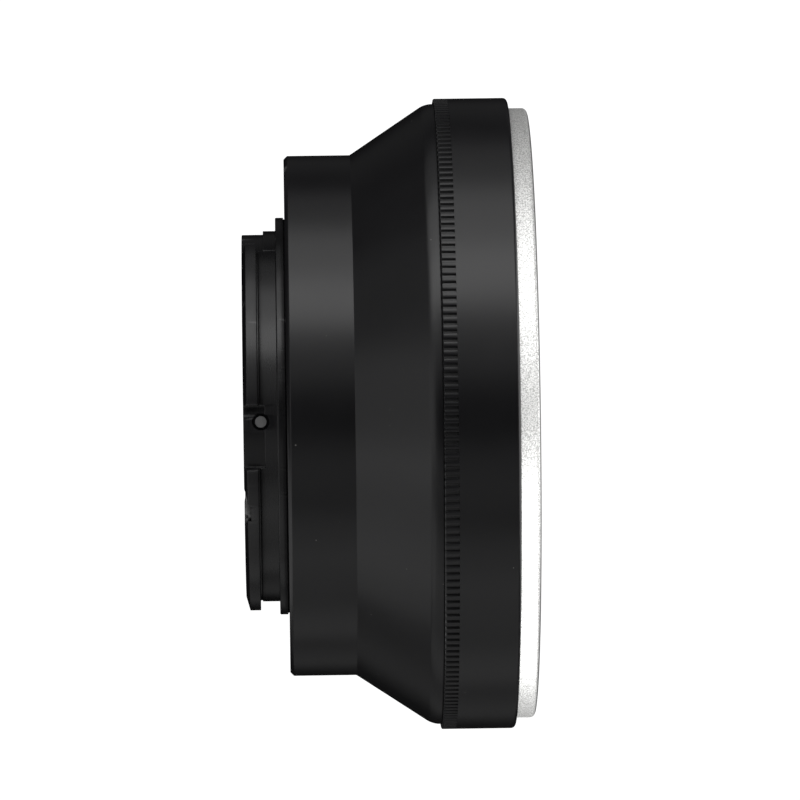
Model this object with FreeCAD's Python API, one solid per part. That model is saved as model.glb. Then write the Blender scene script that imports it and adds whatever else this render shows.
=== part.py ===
"""Lens mount adapter: a medium format breech-lock lens on a 35 mm camera bayonet.

The frame's origin is the centre of the lens side's front face, +Z runs along the lens axis
towards the camera side, and all sizes are in millimetres. The adapter stands on its lens side.
"""
import FreeCAD, Part
import math
import os

Vec = FreeCAD.Vector

# Stack along the axis, from the lens side up
WING_RING_T = 2.45         # chrome ring, front face to back face
WING_T = 1.2               # thickness of its three wings
SEAT_GAP = 0.45            # from the chrome ring's back to the lens flange seat
SEAT_T = 1.7               # lens flange seat ring
LIP_T = 1.8                # inward lip of the lock ring
LIP_CLEAR = 0.06           # running clearance in front of the lip
SPRING_SPACE = 0.66        # room for the wave spring behind the lip
LOCK_RING_H = 9.18         # height of the black lock ring
LAND_GAP = 0.22            # dark line between the lock ring and the body
LAND_H = 0.87              # narrow cylinder at the foot of the cone
CONE_H = 9.44
REAR_H = 8.24              # short cylinder of the camera side
SPIGOT_H = 1.16            # spigot disc on the camera flange
BARREL_H = 2.39            # barrel between the spigot and the lugs
LUG_T = 1.8

# Radii of the lens side: the throat, and the walls and steps that follow it
THROAT_R = 30.3            # bore that takes the lens barrel
WING_INSET = 0.7           # inner edge of the wings, out from the throat
TAB_REACH = 3.1            # lens tabs, out from the throat
NOSE_WALL = 2.6            # front nose of the body, inside the lip
SEAT_W = 3.6               # width of the seat ring
SHOULDER_W = 4.24          # from the nose out to the lock ring's bearing
RING_WALL = 2.2            # wall of the lock ring at its bearing
CHROME_STEP = 1.3          # chrome ring, in from the lock ring
LAND_STEP = 0.65           # body's land, in from the lock ring

# Radii of the camera side: the barrel, and the walls and steps that follow it
BARREL_R = 23.15
LUG_REACH = 1.1
SPIGOT_STEP = 1.65         # spigot disc, out from the barrel
FOOT_STEP = 0.45           # foot of the bayonet in the body, out from the barrel
GAP_STEP = 0.45            # milled wall between the lugs, in from the barrel
BAYONET_WALL = 3.95        # from the barrel in to the bayonet's bore
LIGHT_BORE_STEP = 0.4      # body bore behind the bayonet, out from the bayonet's bore
FLANGE_W = 7.7             # camera flange, from the spigot disc out

# Clearances
TURN_CLEAR = 0.06          # radial running clearance of the lock ring
SEAT_CLEAR = 0.2           # around the seat ring
TAB_CLEAR = 0.2            # around the lens tabs in the notches
TAB_TURN_CLEAR = 0.5       # around the lens tabs behind the wings
FIT_CLEAR = 0.03           # screws, pins and painted dots in their holes
SPRING_CLEAR = 0.04        # above and below the wave spring

# Turn of the lock ring
TRAVEL = 50.0
STOP_MARGIN = 0.6          # degrees left between the stop pin and the slot's ends
WINGS = 3
WING_SPAN = 52.0           # degrees
WING_MID = 30.0            # middle of the first wing in the open position

# Knurl of the lock ring
KNURL_COUNT = 240
KNURL_BAND = 1.72          # height of the band, from the ring's rear end
KNURL_DEPTH = 0.34
KNURL_TIP_SHARE = 0.56     # share of the pitch that is tooth at the tip
KNURL_ROOT_SHARE = 0.26    # share of the pitch that is flat at the root

# Edges
RING_FRONT_FILLET = 0.5
RING_REAR_CHAMFER = 0.1
CHROME_FILLET = 1.0
SEAT_CHAMFER = 0.15
REAR_CHAMFER = 0.45
SPIGOT_CHAMFER = 0.12
LUG_CHAMFER_H = 0.47
LUG_CHAMFER_W = 1.69
LUG_RELIEF_H = 0.25         # turned groove in the barrel, against the lugs
LUG_RELIEF_DEPTH = 0.15
BORE_CHAMFER = 0.3

# Inside of the body
BAFFLE_STEPS = 9           # stepped grooves that stop stray light
BAFFLE_START = 0.15        # first step, behind the front of the land
BAFFLE_LIP = 0.35          # how far each step is undercut
BAYONET_FOOT_H = 2.0       # how deep the bayonet sits in the body
RELIEF_H = 0.3             # groove in the camera flange round the spigot disc
RELIEF_CLEAR = 0.1         # groove's edge, out from the disc
LIGHT_BORE_H = 2.6         # length of the bore behind the bayonet

# Camera bayonet: the three lugs as start and end angles, anticlockwise seen from the camera side
LUGS = ((273.0, 331.5), (176.0, 254.0), (38.0, 120.0))

# Screws of the bayonet
BAYONET_SCREW_ANGLES = (240.3, 112.0, 52.0)
BAYONET_SCREW_INSET = 1.25  # screw axes, in from the barrel
BAYONET_SCREW_R = 1.0
BAYONET_HEAD_R = 2.2
BAYONET_HEAD_H = 0.72
BAYONET_HEAD_CHAMFER = 0.1
BAYONET_HEAD_SINK = 0.12   # top of the head under the end face
BAYONET_RECESS_CLEAR = 0.33
BAYONET_SCREW_GRIP = 3.0   # thread in the body
BAYONET_SLOT_W = 0.5
BAYONET_SLOT_DEPTH = 0.35

# Stop pin between two lugs
LUG_PIN_ANGLE = 268.1
LUG_PIN_BELOW_END = 2.15
LUG_PIN_R = 0.7
LUG_PIN_RECESS_R = 1.0
LUG_PIN_RECESS_DEPTH = 0.75
LUG_PIN_SINK = 0.08
LUG_PIN_ROOT = 1.2         # length that is pressed into the barrel

# Screws of the seat ring and of the chrome ring
SEAT_SCREWS = 6
SEAT_SCREW_INSET = 1.45    # screw axes, out from the throat
SEAT_SCREW_R = 0.7
SEAT_HEAD_R = 1.25
SEAT_SCREW_L = 4.4
WING_SCREWS_PER_WING = 2
WING_SCREW_ANGLE = 17.0    # to each side of a wing's middle
WING_SCREW_INSET = 1.4     # screw axes, out from the space for the lens tabs
WING_SCREW_R = 0.8
WING_HEAD_R = 1.25
WING_SCREW_L = 4.35
HEAD_SINK = 0.05
HEAD_SLOT_W = 0.36
HEAD_SLOT_DEPTH = 0.3

# Stop pin of the lock ring and the slot that it runs in
STOP_PIN_R = 0.6
STOP_PIN_INSET = 2.7       # pin axis, out from the nose
STOP_PIN_ANGLE = 100.0
STOP_PIN_ROOT = 2.5
STOP_PIN_REACH = 1.4       # into the slot
STOP_SLOT_CLEAR = 0.12
STOP_SLOT_DEPTH = 1.6

# Wave spring behind the lip
SPRING_T = 0.2
SPRING_WAVES = 3
SPRING_IN_CLEAR = 0.2
SPRING_W = 1.2

# Locating notch for the lens pin in the seat ring
KEY_NOTCH_ANGLE = 0.0
KEY_NOTCH_W = 2.6
KEY_NOTCH_REACH = 1.2      # centre of its round end, out from the throat

# Lock pin slot of the camera flange
LOCK_SLOT_ANGLE = 60.0
LOCK_SLOT_W = 3.2
LOCK_SLOT_RUN = 2.6        # between the centres of its round ends
LOCK_SLOT_DEPTH = 1.8

# Painted marks
DOT_R = 0.8
DOT_DEPTH = 0.3
DOT_SINK = 0.05
MARK_ANGLE = 90.0

# Heights that follow from the stack
SEAT_FACE_Z = WING_RING_T + SEAT_GAP
NOSE_Z = SEAT_FACE_Z + SEAT_T
LIP_Z = NOSE_Z + LIP_CLEAR
LIP_BACK_Z = LIP_Z + LIP_T
SHOULDER_Z = LIP_BACK_Z + SPRING_SPACE
LOCK_RING_Z = WING_RING_T + LOCK_RING_H
LAND_Z = LOCK_RING_Z + LAND_GAP
CONE_Z = LAND_Z + LAND_H
REAR_Z = CONE_Z + CONE_H
FLANGE_Z = REAR_Z + REAR_H
SPIGOT_Z = FLANGE_Z + SPIGOT_H
LUG_Z = SPIGOT_Z + BARREL_H
END_Z = LUG_Z + LUG_T
BAFFLE_FRONT_Z = LAND_Z + BAFFLE_START
FOOT_Z = FLANGE_Z - BAYONET_FOOT_H
LIGHT_BORE_Z = FOOT_Z - LIGHT_BORE_H
LUG_PIN_Z = END_Z - LUG_PIN_BELOW_END

# Radii that follow from the throat
WING_R = THROAT_R + WING_INSET
TAB_R = THROAT_R + TAB_REACH
NOSE_R = THROAT_R + NOSE_WALL
SEAT_R = THROAT_R + SEAT_W
BOSS_R = NOSE_R + SHOULDER_W
LIP_R = NOSE_R + TURN_CLEAR
RING_BORE_R = BOSS_R + TURN_CLEAR
LOCK_RING_R = RING_BORE_R + RING_WALL
WING_RING_R = LOCK_RING_R - CHROME_STEP
LAND_R = LOCK_RING_R - LAND_STEP
FRONT_BORE_R = SEAT_R + SEAT_CLEAR
NOTCH_R = TAB_R + TAB_CLEAR
TAB_SPACE_R = TAB_R + TAB_TURN_CLEAR
SEAT_SCREW_PITCH_R = THROAT_R + SEAT_SCREW_INSET
WING_SCREW_PITCH_R = TAB_SPACE_R + WING_SCREW_INSET
STOP_PIN_PITCH_R = NOSE_R + STOP_PIN_INSET

# Radii that follow from the barrel
LUG_R = BARREL_R + LUG_REACH
SPIGOT_R = BARREL_R + SPIGOT_STEP
BAYONET_FOOT_R = BARREL_R + FOOT_STEP
GAP_R = BARREL_R - GAP_STEP
BAYONET_BORE_R = BARREL_R - BAYONET_WALL
LIGHT_BORE_R = BAYONET_BORE_R + LIGHT_BORE_STEP
REAR_R = SPIGOT_R + FLANGE_W
BAYONET_SCREW_PITCH_R = BARREL_R - BAYONET_SCREW_INSET
LOCK_SLOT_INNER_R = SPIGOT_R + LOCK_SLOT_W / 2
LOCK_SLOT_OUTER_R = LOCK_SLOT_INNER_R + LOCK_SLOT_RUN
GAP_Z = LUG_PIN_Z - LUG_PIN_RECESS_R / 2


def revolve(points):
    """Turn a closed outline of (radius, height) points into a solid of revolution."""
    corners = [Vec(r, 0, z) for r, z in points]
    outline = Part.makePolygon(corners + corners[:1])
    return Part.Face(outline).revolve(Vec(0, 0, 0), Vec(0, 0, 1), 360)


def rounded(points, fillets):
    """Revolve an outline and round the circular edges at the given (radius, height) corners."""
    solid = revolve(points)
    for r, z, size in fillets:
        solid = solid.makeFillet(size, circles_at(solid, r, z))
    return solid


def circles_at(solid, r, z):
    """The circular edges of a solid about Z at one radius and height."""
    found = []
    for edge in solid.Edges:
        curve = edge.Curve
        if not isinstance(curve, Part.Circle):
            continue
        flat = abs(abs(curve.Axis.z) - 1) < 1e-6
        same = abs(curve.Radius - r) < 1e-5 and abs(curve.Center.z - z) < 1e-5
        centred = math.hypot(curve.Center.x, curve.Center.y) < 1e-6
        if flat and same and centred:
            found.append(edge)
    return found


def ring(inner, outer, low, high):
    """A plain ring between two radii and two heights."""
    return revolve([(inner, low), (outer, low), (outer, high), (inner, high)])


def sector(inner, outer, low, high, start, end):
    """A part of a ring between two angles in degrees."""
    span = end - start
    corners = [Vec(inner, 0, low), Vec(outer, 0, low), Vec(outer, 0, high), Vec(inner, 0, high)]
    outline = Part.Face(Part.makePolygon(corners + corners[:1]))
    solid = outline.revolve(Vec(0, 0, 0), Vec(0, 0, 1), span)
    return turned(solid, start)


def turned(shape, angle):
    """A copy of a shape turned about Z by an angle in degrees."""
    copy = shape.copy()
    copy.rotate(Vec(0, 0, 0), Vec(0, 0, 1), angle)
    return copy


def at(r, angle, z):
    """The point at a radius, an angle in degrees and a height."""
    return Vec(r * math.cos(math.radians(angle)), r * math.sin(math.radians(angle)), z)


def post(radius, low, high, r, angle):
    """An upright cylinder whose axis stands at a radius and an angle."""
    return Part.makeCylinder(radius, high - low, at(r, angle, low))


def spoke(radius, inner, outer, angle, z):
    """A cylinder that lies along a radius, from an inner to an outer distance."""
    outward = at(1, angle, 0)
    return Part.makeCylinder(radius, outer - inner, at(inner, angle, z), outward)


def joined(shapes):
    """Several solids as one group."""
    return Part.makeCompound(shapes)


def cut_all(solid, tools):
    """A solid less a list of tools."""
    return solid.cut(tools).removeSplitter()


def baffle_outline():
    """Stepped and undercut grooves from the throat in to the light bore, seen in section."""
    drop = (THROAT_R - LIGHT_BORE_R) / BAFFLE_STEPS
    rise = (LIGHT_BORE_Z - BAFFLE_FRONT_Z) / BAFFLE_STEPS
    points = []
    for step in range(BAFFLE_STEPS):
        r = THROAT_R - step * drop
        z = BAFFLE_FRONT_Z + step * rise
        points.append((r, z))
        points.append((r - drop, z - BAFFLE_LIP if step else z))
    return points


def countersink(r, angle, face_z, head_r, shank_r, length, clear):
    """A countersunk screw with its head up at a face that looks along -Z, grown by a clearance."""
    cone_h = head_r - shank_r
    head = Part.makeCone(head_r + clear, shank_r + clear, cone_h, at(r, angle, face_z))
    shank = post(shank_r + clear, face_z, face_z + length, r, angle)
    return head.fuse(shank).removeSplitter()


def front_screw(r, angle, face_z, head_r, shank_r, length):
    """A slotted countersunk screw seen from the lens side."""
    top = face_z + HEAD_SINK
    screw = countersink(r, angle, top, head_r, shank_r, length, 0)
    slot = Part.makeBox(2 * head_r, HEAD_SLOT_W, HEAD_SLOT_DEPTH, Vec(-head_r, -HEAD_SLOT_W / 2, 0))
    slot.rotate(Vec(0, 0, 0), Vec(0, 0, 1), angle + 35 * math.floor(angle / 25))
    slot.translate(at(r, angle, top))
    return screw.cut(slot)


def front_screw_hole(r, angle, face_z, head_r, shank_r, length):
    """The countersunk hole of a front screw, open to the face."""
    top = face_z + HEAD_SINK
    hole = countersink(r, angle, top, head_r, shank_r, length, FIT_CLEAR)
    mouth = post(head_r + FIT_CLEAR, face_z - SEAT_GAP, top, r, angle)
    return hole.fuse(mouth)


def seat_screw_angles():
    """Angles of the seat ring's screws, which keep clear of the locating notch."""
    step = 360 / SEAT_SCREWS
    return [KEY_NOTCH_ANGLE + step * (i + 0.5) for i in range(SEAT_SCREWS)]


def wing_angles():
    """Middle angle of each wing in the open position."""
    return [WING_MID + 360 / WINGS * i for i in range(WINGS)]


def wing_screw_angles():
    """Angles of the chrome ring's screws, spread evenly over each wing."""
    angles = []
    for middle in wing_angles():
        for i in range(WING_SCREWS_PER_WING):
            share = 2 * i / (WING_SCREWS_PER_WING - 1) - 1
            angles.append(middle + WING_SCREW_ANGLE * share)
    return angles


def seat_holes():
    """Countersunk holes through the seat ring into the body's nose."""
    size = (SEAT_FACE_Z, SEAT_HEAD_R, SEAT_SCREW_R, SEAT_SCREW_L)
    return [front_screw_hole(SEAT_SCREW_PITCH_R, angle, *size) for angle in seat_screw_angles()]


def wing_holes():
    """Countersunk holes through the chrome ring into the lock ring."""
    size = (0, WING_HEAD_R, WING_SCREW_R, WING_SCREW_L)
    return [front_screw_hole(WING_SCREW_PITCH_R, angle, *size) for angle in wing_screw_angles()]


def bayonet_head_z():
    """Top of the bayonet screws' heads."""
    return END_Z - BAYONET_HEAD_SINK


def bayonet_screw_end_z():
    """Tip of the bayonet screws, in the body."""
    return FOOT_Z - BAYONET_SCREW_GRIP


def bayonet_screw_holes(clear):
    """Shank holes of the bayonet screws."""
    low = bayonet_screw_end_z() - clear
    size = (BAYONET_SCREW_R + clear, low, END_Z, BAYONET_SCREW_PITCH_R)
    return [post(*size, angle) for angle in BAYONET_SCREW_ANGLES]


def dot_hole(surface_r, angle, z):
    """The shallow round recess of a painted dot on a cylinder."""
    return spoke(DOT_R, surface_r - DOT_DEPTH, surface_r + DOT_DEPTH, angle, z)


def dot(surface_r, angle, z):
    """Paint that fills a recess, with its face just under the surface."""
    flush = ring(0, surface_r - DOT_SINK, z - 2 * DOT_R, z + 2 * DOT_R)
    paint = spoke(DOT_R - FIT_CLEAR, surface_r - DOT_DEPTH, surface_r + DOT_DEPTH, angle, z)
    return paint.common(flush)


def lock_slot():
    """The slot in the camera flange that takes the camera's lock pin."""
    low = FLANGE_Z - LOCK_SLOT_DEPTH
    high = FLANGE_Z + LOCK_SLOT_DEPTH
    ends = [post(LOCK_SLOT_W / 2, low, high, r, 0) for r in (LOCK_SLOT_INNER_R, LOCK_SLOT_OUTER_R)]
    length = LOCK_SLOT_OUTER_R - LOCK_SLOT_INNER_R
    corner = Vec(LOCK_SLOT_INNER_R, -LOCK_SLOT_W / 2, low)
    middle = Part.makeBox(length, LOCK_SLOT_W, high - low, corner)
    return turned(middle.fuse(ends).removeSplitter(), LOCK_SLOT_ANGLE)


def body_shell():
    """The black one-piece body: nose, boss, land, cone and rear cylinder round the light path."""
    outside = [
        (THROAT_R, NOSE_Z), (NOSE_R, NOSE_Z), (NOSE_R, SHOULDER_Z), (BOSS_R, SHOULDER_Z),
        (BOSS_R, LAND_Z), (LAND_R, LAND_Z), (LAND_R, CONE_Z), (REAR_R, REAR_Z),
        (REAR_R, FLANGE_Z - REAR_CHAMFER), (REAR_R - REAR_CHAMFER, FLANGE_Z),
    ]
    foot = BAYONET_FOOT_R + FIT_CLEAR
    relief = SPIGOT_R + RELIEF_CLEAR
    relief_z = FLANGE_Z - RELIEF_H
    inside = [
        (relief, FLANGE_Z), (relief, relief_z), (foot, relief_z), (foot, FOOT_Z),
        (LIGHT_BORE_R, FOOT_Z), (LIGHT_BORE_R, LIGHT_BORE_Z),
    ]
    solid = revolve(outside + inside + baffle_outline()[::-1])
    mark = dot_hole(REAR_R, MARK_ANGLE, REAR_Z + REAR_H / 2)
    pin = post(STOP_PIN_R, SHOULDER_Z, SHOULDER_Z + STOP_PIN_ROOT, STOP_PIN_PITCH_R, STOP_PIN_ANGLE)
    tools = seat_holes() + bayonet_screw_holes(FIT_CLEAR) + [lock_slot(), mark, pin]
    return cut_all(solid, tools)


def lug_blank():
    """The bayonet turned to the lugs' radius, with its coned end face."""
    cone_r = LUG_R - LUG_CHAMFER_W
    relief_r = BARREL_R - LUG_RELIEF_DEPTH
    relief_z = LUG_Z - LUG_RELIEF_H
    return revolve([
        (BAYONET_BORE_R, FOOT_Z), (BAYONET_FOOT_R, FOOT_Z), (BAYONET_FOOT_R, FLANGE_Z),
        (SPIGOT_R, FLANGE_Z), (SPIGOT_R, SPIGOT_Z - SPIGOT_CHAMFER),
        (SPIGOT_R - SPIGOT_CHAMFER, SPIGOT_Z), (BARREL_R, SPIGOT_Z), (BARREL_R, relief_z),
        (relief_r, relief_z), (relief_r, LUG_Z), (LUG_R, LUG_Z),
        (LUG_R, END_Z - LUG_CHAMFER_H), (cone_r, END_Z),
        (BAYONET_BORE_R + BORE_CHAMFER, END_Z), (BAYONET_BORE_R, END_Z - BORE_CHAMFER),
    ])


def lug_gaps():
    """The spaces milled away between neighbouring lugs, in the order of their angles."""
    lugs = sorted(LUGS)
    gaps = []
    for i, lug in enumerate(lugs):
        start = lug[1]
        end = lugs[(i + 1) % len(lugs)][0] + (360 if i == len(lugs) - 1 else 0)
        gaps.append(sector(GAP_R, LUG_R + 1, GAP_Z, END_Z + 1, start, end))
    return gaps


def camera_bayonet():
    """The male bayonet of the camera side, turned, milled and drilled in one piece."""
    recess_r = BAYONET_HEAD_R + BAYONET_RECESS_CLEAR
    recess_z = bayonet_head_z() - BAYONET_HEAD_H
    recesses = []
    for angle in BAYONET_SCREW_ANGLES:
        recesses.append(post(recess_r, recess_z, END_Z + 1, BAYONET_SCREW_PITCH_R, angle))
    floor_r = GAP_R - LUG_PIN_RECESS_DEPTH
    pin_recess = spoke(LUG_PIN_RECESS_R, floor_r, LUG_R, LUG_PIN_ANGLE, LUG_PIN_Z)
    pin_hole = spoke(LUG_PIN_R, floor_r - LUG_PIN_ROOT, floor_r, LUG_PIN_ANGLE, LUG_PIN_Z)
    tools = lug_gaps() + recesses + bayonet_screw_holes(FIT_CLEAR) + [pin_recess, pin_hole]
    return cut_all(lug_blank(), tools)


def bayonet_screws():
    """Slotted cheese-head screws that hold the bayonet on the body."""
    top = bayonet_head_z()
    under = top - BAYONET_HEAD_H
    screws = []
    for angle in BAYONET_SCREW_ANGLES:
        head = post(BAYONET_HEAD_R, under, top, BAYONET_SCREW_PITCH_R, angle)
        head = head.makeChamfer(BAYONET_HEAD_CHAMFER, circle_edges(head, top))
        shank = post(BAYONET_SCREW_R, bayonet_screw_end_z(), under, BAYONET_SCREW_PITCH_R, angle)
        corner = Vec(-BAYONET_HEAD_R, -BAYONET_SLOT_W / 2, -BAYONET_SLOT_DEPTH)
        slot = Part.makeBox(2 * BAYONET_HEAD_R, BAYONET_SLOT_W, 2 * BAYONET_SLOT_DEPTH, corner)
        slot.rotate(Vec(0, 0, 0), Vec(0, 0, 1), angle * 1.7)
        slot.translate(at(BAYONET_SCREW_PITCH_R, angle, top))
        screws.append(head.fuse(shank).cut(slot).removeSplitter())
    return joined(screws)


def circle_edges(solid, z):
    """The circular edges of a solid at one height."""
    return [edge for edge in solid.Edges
            if isinstance(edge.Curve, Part.Circle) and abs(edge.Curve.Center.z - z) < 1e-6]


def lug_stop_pin():
    """The pressed pin between two lugs, with its flat end just under the milled wall."""
    floor_r = GAP_R - LUG_PIN_RECESS_DEPTH
    return spoke(LUG_PIN_R, floor_r - LUG_PIN_ROOT, GAP_R - LUG_PIN_SINK, LUG_PIN_ANGLE, LUG_PIN_Z)


def seat_ring():
    """The lens flange seat, which also traps the lock ring's lip."""
    solid = revolve([
        (THROAT_R, SEAT_FACE_Z + SEAT_CHAMFER), (THROAT_R + SEAT_CHAMFER, SEAT_FACE_Z),
        (SEAT_R - SEAT_CHAMFER, SEAT_FACE_Z), (SEAT_R, SEAT_FACE_Z + SEAT_CHAMFER),
        (SEAT_R, NOSE_Z), (THROAT_R, NOSE_Z),
    ])
    end = post(KEY_NOTCH_W / 2, SEAT_FACE_Z - 1, NOSE_Z + 1, THROAT_R + KEY_NOTCH_REACH, 0)
    corner = Vec(THROAT_R - 1, -KEY_NOTCH_W / 2, SEAT_FACE_Z - 1)
    neck = Part.makeBox(KEY_NOTCH_REACH + 1, KEY_NOTCH_W, SEAT_T + 2, corner)
    notch = turned(end.fuse(neck).removeSplitter(), KEY_NOTCH_ANGLE)
    return cut_all(solid, seat_holes() + [notch])


def seat_screws():
    """Countersunk screws of the seat ring."""
    size = (SEAT_FACE_Z, SEAT_HEAD_R, SEAT_SCREW_R, SEAT_SCREW_L)
    return joined([front_screw(SEAT_SCREW_PITCH_R, angle, *size) for angle in seat_screw_angles()])


def travel_stop_pin():
    """The pin in the body's shoulder that limits the lock ring's turn."""
    low = LIP_BACK_Z - STOP_PIN_REACH
    return post(STOP_PIN_R, low, SHOULDER_Z + STOP_PIN_ROOT, STOP_PIN_PITCH_R, STOP_PIN_ANGLE)


def travel_slot():
    """The arc slot in the lock ring's lip, as long as the turn and the pin's own width."""
    half_w = STOP_PIN_R + STOP_SLOT_CLEAR
    pin_half = math.degrees(STOP_PIN_R / STOP_PIN_PITCH_R) + STOP_MARGIN
    low = LIP_BACK_Z - STOP_SLOT_DEPTH
    high = LIP_BACK_Z + 1
    start = STOP_PIN_ANGLE - TRAVEL - pin_half
    end = STOP_PIN_ANGLE + pin_half
    return sector(STOP_PIN_PITCH_R - half_w, STOP_PIN_PITCH_R + half_w, low, high, start, end)


def wave_circle(r, z, amplitude):
    """A closed smooth curve that waves up and down round the axis."""
    samples = 8 * SPRING_WAVES
    points = []
    for i in range(samples):
        angle = 360 / samples * i
        points.append(at(r, angle, z + amplitude * math.cos(math.radians(SPRING_WAVES * angle))))
    curve = Part.BSplineCurve()
    curve.interpolate(Points=points, PeriodicFlag=True)
    return curve.toShape()


def friction_spring():
    """The wave spring that presses the lock ring forward and keeps it where it is put."""
    inner = NOSE_R + SPRING_IN_CLEAR
    outer = inner + SPRING_W
    amplitude = (SPRING_SPACE - SPRING_T) / 2 - SPRING_CLEAR
    middle = (LIP_BACK_Z + SHOULDER_Z) / 2
    low = middle - SPRING_T / 2
    high = middle + SPRING_T / 2
    corners = [wave_circle(r, z, amplitude) for r, z in
               ((inner, low), (outer, low), (outer, high), (inner, high))]
    sides = [Part.makeRuledSurface(corners[i], corners[(i + 1) % 4]) for i in range(4)]
    shell = Part.makeShell([face for side in sides for face in side.Faces])
    shell.sewShape()
    solid = Part.makeSolid(Part.Shell(shell.Faces))
    if solid.Volume < 0:
        solid.reverse()
    return solid


def knurl_band(low, high):
    """A band of straight teeth, from one outline that is drawn tooth by tooth and extruded."""
    pitch = 360 / KNURL_COUNT
    tip = pitch * KNURL_TIP_SHARE / 2
    root = pitch * (1 - KNURL_ROOT_SHARE) / 2
    root_r = LOCK_RING_R - KNURL_DEPTH
    points = []
    for i in range(KNURL_COUNT):
        middle = i * pitch
        points.append(at(root_r, middle - root, low))
        points.append(at(LOCK_RING_R, middle - tip, low))
        points.append(at(LOCK_RING_R, middle + tip, low))
        points.append(at(root_r, middle + root, low))
    outline = Part.makePolygon(points + points[:1])
    toothed = Part.Face(outline).extrude(Vec(0, 0, high - low))
    return toothed.cut(Part.makeCylinder(RING_BORE_R, high - low, Vec(0, 0, low)))


def lock_ring():
    """The black turning ring: smooth grip, knurl band, inward lip and arc slot."""
    band_z = LOCK_RING_Z - KNURL_BAND
    top_z = LOCK_RING_Z - RING_REAR_CHAMFER
    body = rounded([
        (FRONT_BORE_R, WING_RING_T), (LOCK_RING_R, WING_RING_T), (LOCK_RING_R, band_z),
        (RING_BORE_R, band_z), (RING_BORE_R, LIP_BACK_Z), (LIP_R, LIP_BACK_Z), (LIP_R, LIP_Z),
        (FRONT_BORE_R, LIP_Z),
    ], [(LOCK_RING_R, WING_RING_T, RING_FRONT_FILLET)])
    solid = body.fuse(knurl_band(band_z, top_z))
    rim_r = LOCK_RING_R - KNURL_DEPTH
    solid = solid.fuse(ring(RING_BORE_R, rim_r, top_z, LOCK_RING_Z)).removeSplitter()
    mark = dot_hole(LOCK_RING_R, MARK_ANGLE, (WING_RING_T + band_z) / 2)
    return cut_all(solid, wing_holes() + [travel_slot(), mark])


def wing_ring():
    """The satin chrome ring with three wings that reach over the lens tabs."""
    blank = rounded([
        (WING_R, 0), (WING_RING_R, 0), (WING_RING_R, WING_RING_T),
        (TAB_SPACE_R, WING_RING_T), (TAB_SPACE_R, WING_T), (WING_R, WING_T),
    ], [(WING_RING_R, 0, CHROME_FILLET)])
    gap = 360 / WINGS - WING_SPAN
    tools = []
    for middle in wing_angles():
        start = middle + WING_SPAN / 2
        tools.append(sector(WING_R - 1, NOTCH_R, -1, WING_T + 1, start, start + gap))
    return cut_all(blank, tools + wing_holes())


def wing_ring_screws():
    """Countersunk screws of the chrome ring."""
    size = (0, WING_HEAD_R, WING_SCREW_R, WING_SCREW_L)
    return joined([front_screw(WING_SCREW_PITCH_R, angle, *size) for angle in wing_screw_angles()])


def camera_index_dot():
    """The mounting mark of the camera side."""
    return dot(REAR_R, MARK_ANGLE, REAR_Z + REAR_H / 2)


def ring_index_dot():
    """The mark of the lock ring."""
    return dot(LOCK_RING_R, MARK_ANGLE, (WING_RING_T + LOCK_RING_Z - KNURL_BAND) / 2)


PARTS = {
    "body_shell": body_shell,
    "camera_bayonet": camera_bayonet,
    "bayonet_screws": bayonet_screws,
    "lug_stop_pin": lug_stop_pin,
    "seat_ring": seat_ring,
    "seat_screws": seat_screws,
    "travel_stop_pin": travel_stop_pin,
    "friction_spring": friction_spring,
    "lock_ring": lock_ring,
    "wing_ring": wing_ring,
    "wing_ring_screws": wing_ring_screws,
    "camera_index_dot": camera_index_dot,
    "ring_index_dot": ring_index_dot,
}

os.makedirs("parts", exist_ok=True)
for name, make in PARTS.items():
    shape = make()
    shape.exportStep(os.path.join("parts", name + ".step"))
    print(name, "solids", len(shape.Solids), "volume", round(shape.Volume, 2), "valid", shape.isValid())
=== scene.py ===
# %% [markdown]
# Lens mount adapter. It joins a medium format lens to a 35 mm camera: a black turned body with a
# small bayonet at the camera end, and a knurled lock ring with a satin chrome front ring.
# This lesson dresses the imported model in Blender. The four turned pieces that catch the light are
# modelled again with bevelled edges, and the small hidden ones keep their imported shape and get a
# finish. Lengths are in millimetres in the outlines and become metres through MM.

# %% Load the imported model
import bpy
import bmesh
import math
from mathutils import Matrix, Vector


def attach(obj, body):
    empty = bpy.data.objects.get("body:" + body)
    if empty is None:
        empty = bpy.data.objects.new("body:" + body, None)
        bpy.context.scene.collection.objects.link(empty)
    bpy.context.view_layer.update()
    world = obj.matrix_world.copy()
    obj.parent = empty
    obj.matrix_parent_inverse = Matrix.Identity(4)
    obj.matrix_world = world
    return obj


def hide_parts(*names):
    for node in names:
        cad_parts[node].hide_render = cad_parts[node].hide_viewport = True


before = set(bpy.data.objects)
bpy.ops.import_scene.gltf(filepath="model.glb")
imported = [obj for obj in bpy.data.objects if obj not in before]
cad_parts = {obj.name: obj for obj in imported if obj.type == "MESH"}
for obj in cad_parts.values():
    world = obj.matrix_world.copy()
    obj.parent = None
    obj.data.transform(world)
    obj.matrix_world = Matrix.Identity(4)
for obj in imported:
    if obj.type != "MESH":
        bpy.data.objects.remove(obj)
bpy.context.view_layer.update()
MM = 0.001
print("pieces in the packed model:", len(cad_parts))

# %% [markdown]
# The photograph looks at the adapter from the side with a long lens, and the picture is turned so
# that the lens axis runs from left to right. So the camera stands level in front of the adapter,
# a little more than 0.8 m away, and is rolled by a quarter turn. Its place, turn and focal length
# come from the curves of the rings: how far each one bulges tells the distance.

# %% Camera
EYE = Vector((-2.96, -858.3, 30.6)) * MM     # place of the camera
YAW, PITCH, ROLL = 0.01675, 0.00555, -0.01392   # radians
SENSOR = 36.0
FOCAL = 308.7


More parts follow.
